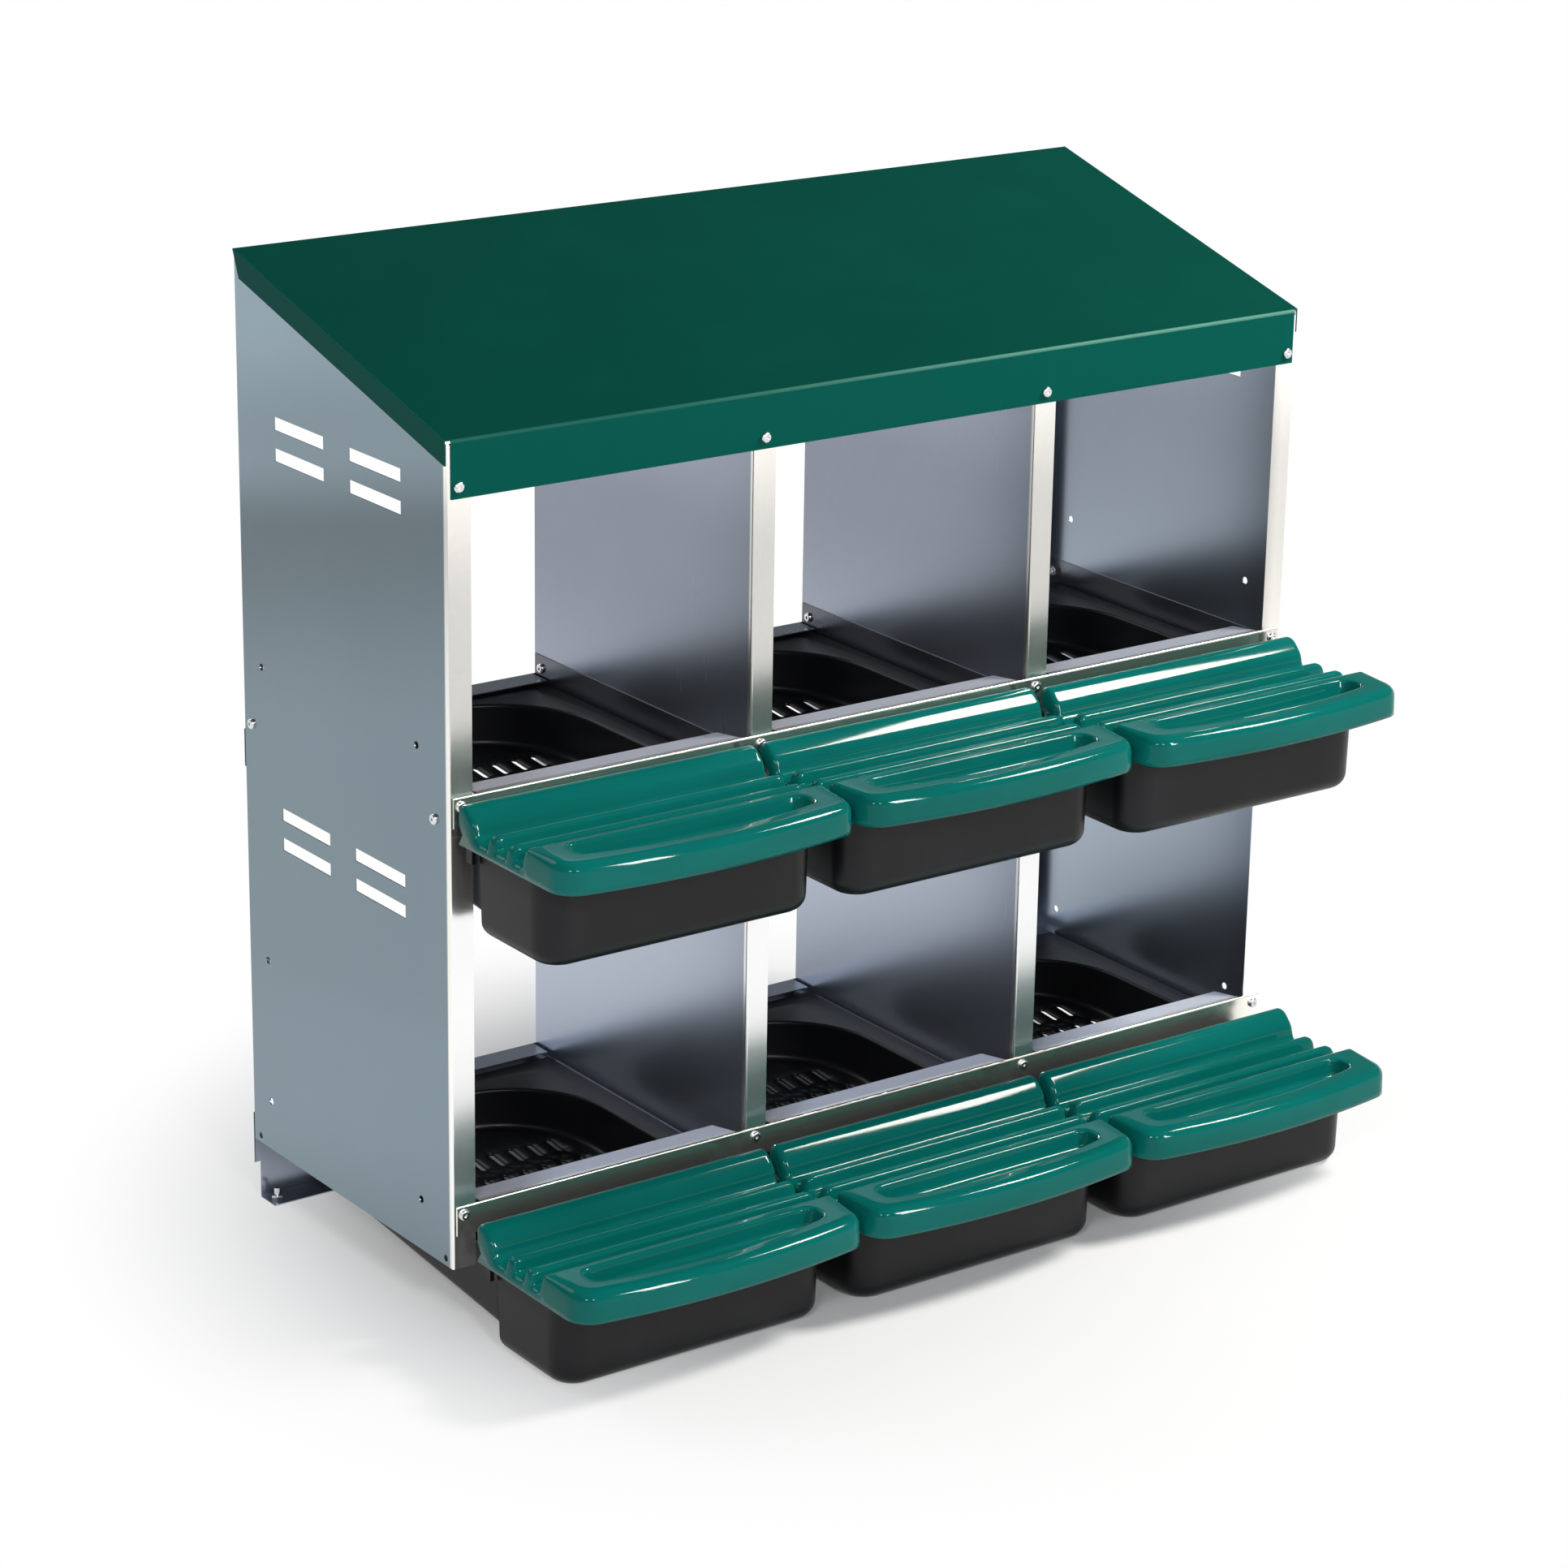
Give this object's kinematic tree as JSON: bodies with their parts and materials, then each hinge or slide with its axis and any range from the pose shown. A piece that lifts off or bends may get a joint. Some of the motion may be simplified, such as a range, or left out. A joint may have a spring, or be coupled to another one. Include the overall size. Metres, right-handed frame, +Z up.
{
  "type": "chicken nesting box",
  "caption": "Two-tier sheet-steel hen nesting box with a sloping roof, black roll-away nest trays and hinged green lids over the egg boxes in front.",
  "frame": {"origin": "centre of the footprint of the whole box, on the floor", "axes": "+X to the right as seen from the front, +Y to the back, +Z up; the egg boxes face -Y"},
  "size_m": [0.9356, 0.5598, 0.9004],
  "materials": {
    "roof_paint": "satin green paint",
    "galvanised_sheet": "galvanised",
    "zinc_fastener": "bright zinc",
    "tray_plastic": "satin moulded",
    "lid_plastic": "gloss moulded"
  },
  "bodies": {
    "cabinet": {"roof": "roof_paint", "side_panel_left": "galvanised_sheet", "partition_left": "galvanised_sheet", "partition_right": "galvanised_sheet", "side_panel_right": "galvanised_sheet", "front_rail_lower": "galvanised_sheet", "rear_rail_lower": "galvanised_sheet", "runner_lower_left_a": "galvanised_sheet", "runner_lower_left_b": "galvanised_sheet", "runner_lower_middle_a": "galvanised_sheet", "runner_lower_middle_b": "galvanised_sheet", "runner_lower_right_a": "galvanised_sheet", "runner_lower_right_b": "galvanised_sheet", "front_rail_upper": "galvanised_sheet", "rear_rail_upper": "galvanised_sheet", "runner_upper_left_a": "galvanised_sheet", "runner_upper_left_b": "galvanised_sheet", "runner_upper_middle_a": "galvanised_sheet", "runner_upper_middle_b": "galvanised_sheet", "runner_upper_right_a": "galvanised_sheet", "runner_upper_right_b": "galvanised_sheet", "roof_screws": "zinc_fastener", "roof_nuts": "zinc_fastener", "front_rail_screws": "zinc_fastener", "front_rail_nuts": "zinc_fastener", "rear_rail_screws": "zinc_fastener", "rear_rail_nuts": "zinc_fastener", "runner_side_panel_left_screws": "zinc_fastener", "runner_side_panel_left_nuts": "zinc_fastener", "runner_partition_left_screws": "zinc_fastener", "runner_partition_left_nuts": "zinc_fastener", "runner_partition_right_screws": "zinc_fastener", "runner_partition_right_nuts": "zinc_fastener", "runner_side_panel_right_screws": "zinc_fastener", "runner_side_panel_right_nuts": "zinc_fastener", "foot_bolts": "zinc_fastener", "foot_nuts": "zinc_fastener"},
    "tray_lower_left": {"nest_tray_lower_left": "tray_plastic"},
    "lid_lower_left": {"egg_lid_lower_left": "lid_plastic"},
    "tray_lower_middle": {"nest_tray_lower_middle": "tray_plastic"},
    "lid_lower_middle": {"egg_lid_lower_middle": "lid_plastic"},
    "tray_lower_right": {"nest_tray_lower_right": "tray_plastic"},
    "lid_lower_right": {"egg_lid_lower_right": "lid_plastic"},
    "tray_upper_left": {"nest_tray_upper_left": "tray_plastic"},
    "lid_upper_left": {"egg_lid_upper_left": "lid_plastic"},
    "tray_upper_middle": {"nest_tray_upper_middle": "tray_plastic"},
    "lid_upper_middle": {"egg_lid_upper_middle": "lid_plastic"},
    "tray_upper_right": {"nest_tray_upper_right": "tray_plastic"},
    "lid_upper_right": {"egg_lid_upper_right": "lid_plastic"}
  },
  "joints": [
    {"name": "tray_slide_lower_left", "type": "slide", "parent": "cabinet", "child": "tray_lower_left", "axis": [0, -1, 0], "range_m": [-0.025, 0]},
    {"name": "lid_hinge_lower_left", "type": "hinge", "parent": "tray_lower_left", "child": "lid_lower_left", "pos_m": [-0.31, -0.1144, 0.1065], "axis": [-1, 0, 0], "range_deg": [0, 92]},
    {"name": "tray_slide_lower_middle", "type": "slide", "parent": "cabinet", "child": "tray_lower_middle", "axis": [0, -1, 0], "range_m": [-0.025, 0]},
    {"name": "lid_hinge_lower_middle", "type": "hinge", "parent": "tray_lower_middle", "child": "lid_lower_middle", "pos_m": [0, -0.1144, 0.1065], "axis": [-1, 0, 0], "range_deg": [0, 92]},
    {"name": "tray_slide_lower_right", "type": "slide", "parent": "cabinet", "child": "tray_lower_right", "axis": [0, -1, 0], "range_m": [-0.025, 0]},
    {"name": "lid_hinge_lower_right", "type": "hinge", "parent": "tray_lower_right", "child": "lid_lower_right", "pos_m": [0.31, -0.1144, 0.1065], "axis": [-1, 0, 0], "range_deg": [0, 92]},
    {"name": "tray_slide_upper_left", "type": "slide", "parent": "cabinet", "child": "tray_upper_left", "axis": [0, -1, 0], "range_m": [0, 0.025]},
    {"name": "lid_hinge_upper_left", "type": "hinge", "parent": "tray_upper_left", "child": "lid_upper_left", "pos_m": [-0.31, -0.0894, 0.4805], "axis": [-1, 0, 0], "range_deg": [0, 92]},
    {"name": "tray_slide_upper_middle", "type": "slide", "parent": "cabinet", "child": "tray_upper_middle", "axis": [0, -1, 0], "range_m": [0, 0.025]},
    {"name": "lid_hinge_upper_middle", "type": "hinge", "parent": "tray_upper_middle", "child": "lid_upper_middle", "pos_m": [0, -0.0894, 0.4805], "axis": [-1, 0, 0], "range_deg": [0, 92]},
    {"name": "tray_slide_upper_right", "type": "slide", "parent": "cabinet", "child": "tray_upper_right", "axis": [0, -1, 0], "range_m": [-0.009, 0.016]},
    {"name": "lid_hinge_upper_right", "type": "hinge", "parent": "tray_upper_right", "child": "lid_upper_right", "pos_m": [0.31, -0.0984, 0.4805], "axis": [-1, 0, 0], "range_deg": [0, 92]}
  ]
}
